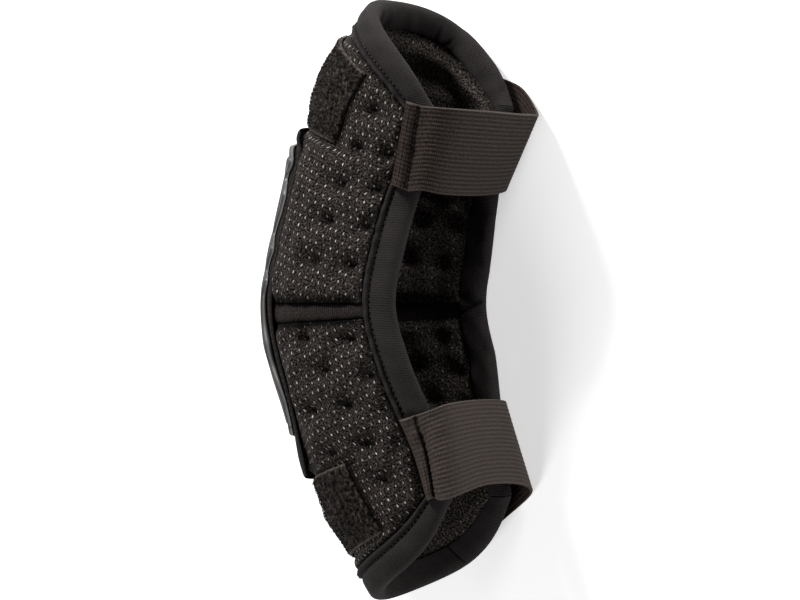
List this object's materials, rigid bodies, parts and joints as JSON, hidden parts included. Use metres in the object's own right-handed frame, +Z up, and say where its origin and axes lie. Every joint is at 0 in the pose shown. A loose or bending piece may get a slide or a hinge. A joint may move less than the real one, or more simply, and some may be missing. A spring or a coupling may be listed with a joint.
{
  "type": "elbow guard",
  "caption": "Padded open channel for a bent arm, with bound edges, a hard elbow shell at the back and elastic straps across the open front.",
  "frame": {"origin": "centre of the bounding box at floor level, the guard lying on its far side", "axes": "+X along the arm toward the upper arm, -Y out of the open front where the straps are, +Y out of the elbow shell, +Z up with the near side on top"},
  "size_m": [0.2862, 0.1234, 0.096],
  "materials": {
    "mesh": "charcoal spacer mesh, quilted",
    "knit": "charcoal stretch knit",
    "binding": "fine crosswise ribbed knit tape",
    "backing": "black felted backing",
    "shell": "satin dark grey moulding",
    "loop_pile": "short fuzzy fastening pile",
    "elastic": "lengthwise ribbed elastic webbing",
    "hook": "plain moulded hook tape"
  },
  "bodies": {
    "root": {"upper_pad": "mesh", "lower_pad": "mesh", "flex_band": "knit", "upper_hem_binding": "binding", "lower_hem_binding": "binding", "near_edge_binding": "binding", "far_edge_binding": "binding", "shell_backing": "backing", "elbow_shell": "shell", "upper_loop_strip": "loop_pile", "lower_loop_strip": "loop_pile", "upper_strap": "elastic", "lower_strap": "elastic", "upper_hook_tab": "hook", "lower_hook_tab": "hook"}
  },
  "joints": []
}
